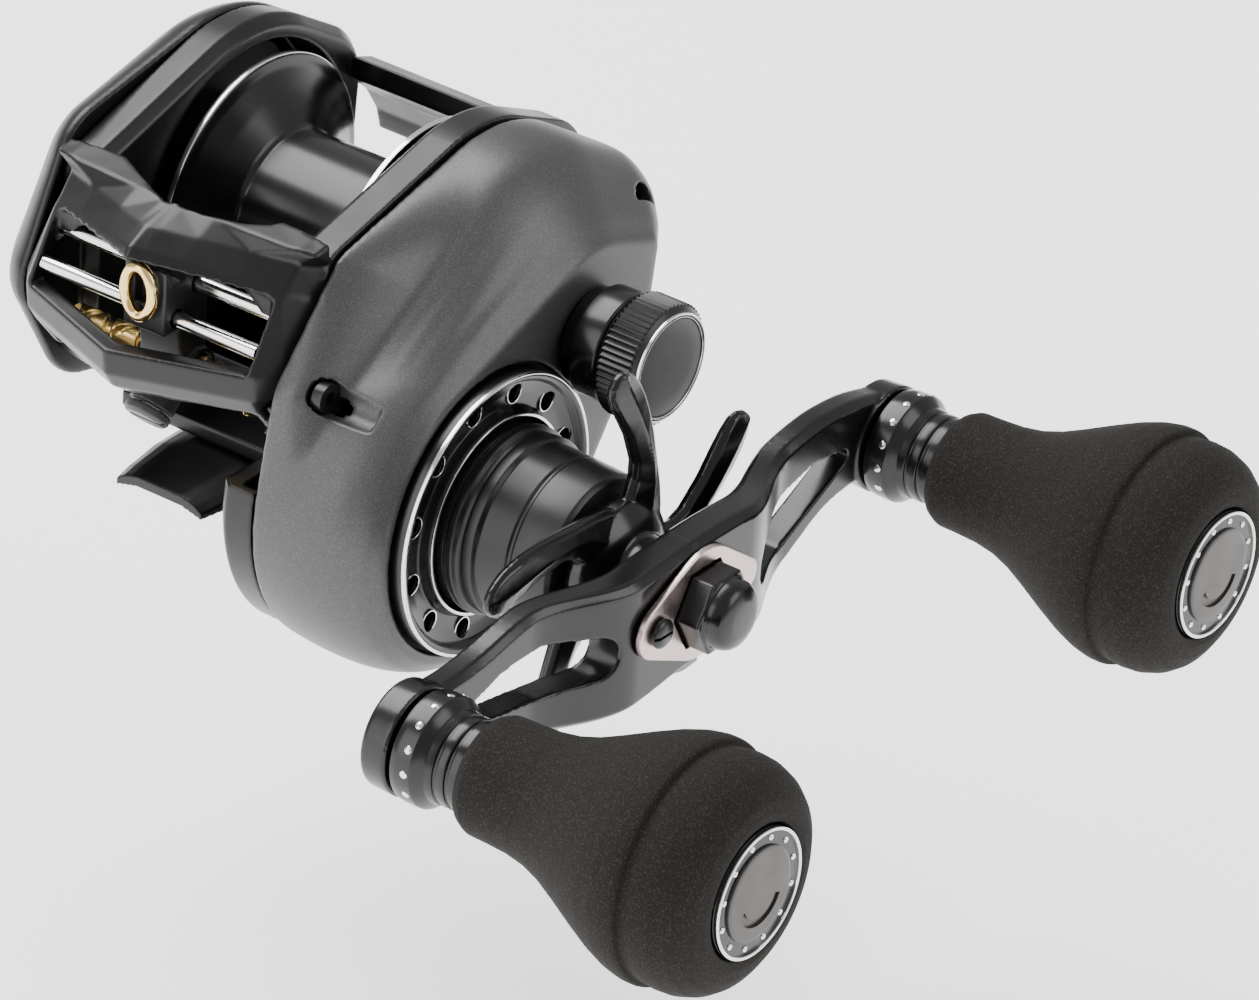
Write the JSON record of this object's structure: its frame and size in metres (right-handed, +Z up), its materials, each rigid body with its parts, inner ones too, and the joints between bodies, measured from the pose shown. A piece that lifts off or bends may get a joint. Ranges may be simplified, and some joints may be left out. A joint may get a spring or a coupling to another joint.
{
  "type": "baitcasting fishing reel",
  "caption": "Low-profile baitcasting fishing reel with crank handle, foam knobs, star drag, level wind, thumb-bar release and rod foot.",
  "frame": {"origin": "centre of the foot's flat seat, straight under the spool", "axes": "+X runs along the spool towards the handle, -Y towards the rod tip, +Z up from the rod"},
  "size_m": [0.1419, 0.1256, 0.0633],
  "materials": {
    "black_plastic": "matte",
    "brass": "machined",
    "carbon_fibre": "matte",
    "eva_foam": "matte foam",
    "gloss_black": "gloss",
    "gold_coat": "polished gold coat",
    "graphite_paint": "satin metallic",
    "polished_silver": "polished",
    "rose_aluminium": "brushed",
    "satin_black": "satin",
    "steel": "machined"
  },
  "bodies": {
    "reel_body": {"frame_palm_ring": "satin_black", "frame_gear_plate": "satin_black", "frame_lower_bridge": "satin_black", "frame_rear_bridge": "satin_black", "front_hood": "satin_black", "reel_foot": "satin_black", "gear_side_cover": "graphite_paint", "palm_side_cover": "satin_black", "cover_screw_front": "steel", "cover_screw_rear": "steel", "vent_ring": "gloss_black", "clutch_housing": "satin_black", "cast_collar": "gloss_black", "brake_plate": "black_plastic", "spool_bearing": "steel", "pinion_bearing": "steel", "drive_shaft_bearing": "steel", "anti_reverse_bearing": "steel", "guide_bar_upper": "polished_silver", "guide_bar_lower": "polished_silver"},
    "spool_group": {"spool": "gloss_black", "spool_shaft": "steel", "brake_rotor": "black_plastic"},
    "brake_dial_group": {"brake_dial": "gloss_black"},
    "thumb_bar_group": {"thumb_bar": "satin_black", "clutch_slide": "steel"},
    "yoke_group": {"pinion_yoke": "steel", "yoke_spring_upper": "steel", "yoke_spring_lower": "steel"},
    "pinion_group": {"pinion_gear": "brass"},
    "cast_cap_group": {"cast_control_cap": "satin_black"},
    "worm_group": {"worm_shaft": "brass", "worm_gear": "black_plastic"},
    "line_guide_group": {"line_guide_carriage": "black_plastic", "line_guide_insert": "gold_coat", "guide_pawl": "steel", "pawl_cap": "steel"},
    "handle_group": {"drive_shaft": "steel", "drive_gear": "brass", "ratchet_wheel": "steel", "level_wind_cog": "black_plastic", "drag_washer_carbon": "carbon_fibre", "drag_washer_steel": "steel", "drag_pressure_plate": "steel", "anti_reverse_sleeve": "steel", "handle_arm": "gloss_black", "handle_retainer": "rose_aluminium", "retainer_screw": "steel", "handle_nut": "gloss_black", "knob_spindle_front": "steel", "knob_spindle_rear": "steel"},
    "star_drag_group": {"star_drag": "gloss_black"},
    "knob_front_group": {"knob_front_flange": "gloss_black", "knob_front_bearing": "steel", "knob_front_grip": "eva_foam", "knob_front_end_cap": "satin_black"},
    "knob_rear_group": {"knob_rear_flange": "gloss_black", "knob_rear_bearing": "steel", "knob_rear_grip": "eva_foam", "knob_rear_end_cap": "satin_black"}
  },
  "joints": [
    {"name": "handle_spin", "type": "hinge", "parent": "reel_body", "child": "handle_group", "pos_m": [0.06, -0.0191, 0.0069], "axis": [1, 0, 0], "continuous": true},
    {"name": "spool_spin", "type": "hinge", "parent": "reel_body", "child": "spool_group", "pos_m": [0, 0, 0.0235], "axis": [1, 0, 0], "continuous": true},
    {"name": "thumb_press", "type": "slide", "parent": "reel_body", "child": "thumb_bar_group", "axis": [0, 0, -1], "range_m": [0, 0.003], "stiffness_N_per_m": 400, "springref_m": -0.001},
    {"name": "yoke_lift", "type": "slide", "parent": "reel_body", "child": "yoke_group", "axis": [1, 0, 0], "range_m": [0, 0.0016]},
    {"name": "pinion_spin", "type": "hinge", "parent": "yoke_group", "child": "pinion_group", "pos_m": [0.024, 0, 0.0235], "axis": [1, 0, 0], "continuous": true},
    {"name": "worm_spin", "type": "hinge", "parent": "reel_body", "child": "worm_group", "pos_m": [0, -0.03308, 0.01863], "axis": [1, 0, 0], "continuous": true},
    {"name": "line_guide_slide", "type": "slide", "parent": "reel_body", "child": "line_guide_group", "axis": [1, 0, 0], "range_m": [-0.0098, 0.008]},
    {"name": "cast_cap_turn", "type": "hinge", "parent": "reel_body", "child": "cast_cap_group", "pos_m": [0.048, 0, 0.0235], "axis": [1, 0, 0], "range_deg": [-180, 180]},
    {"name": "brake_dial_turn", "type": "hinge", "parent": "reel_body", "child": "brake_dial_group", "pos_m": [-0.026, 0, 0.0235], "axis": [1, 0, 0], "range_deg": [-135, 135]},
    {"name": "star_drag_turn", "type": "hinge", "parent": "handle_group", "child": "star_drag_group", "pos_m": [0.0585, -0.0191, 0.0069], "axis": [1, 0, 0], "range_deg": [-180, 180]},
    {"name": "knob_front_spin", "type": "hinge", "parent": "handle_group", "child": "knob_front_group", "pos_m": [0.09, -0.0666, 0.0069], "axis": [1, 0, 0], "continuous": true},
    {"name": "knob_rear_spin", "type": "hinge", "parent": "handle_group", "child": "knob_rear_group", "pos_m": [0.09, 0.0284, 0.0069], "axis": [1, 0, 0], "continuous": true}
  ],
  "couplings": [
    {"joint": "spool_spin", "follows": "handle_spin", "ratio": -5.3333},
    {"joint": "pinion_spin", "follows": "handle_spin", "ratio": -5.3333},
    {"joint": "worm_spin", "follows": "handle_spin", "ratio": -3.5625},
    {"joint": "yoke_lift", "follows": "thumb_press", "ratio": 0.53333}
  ]
}
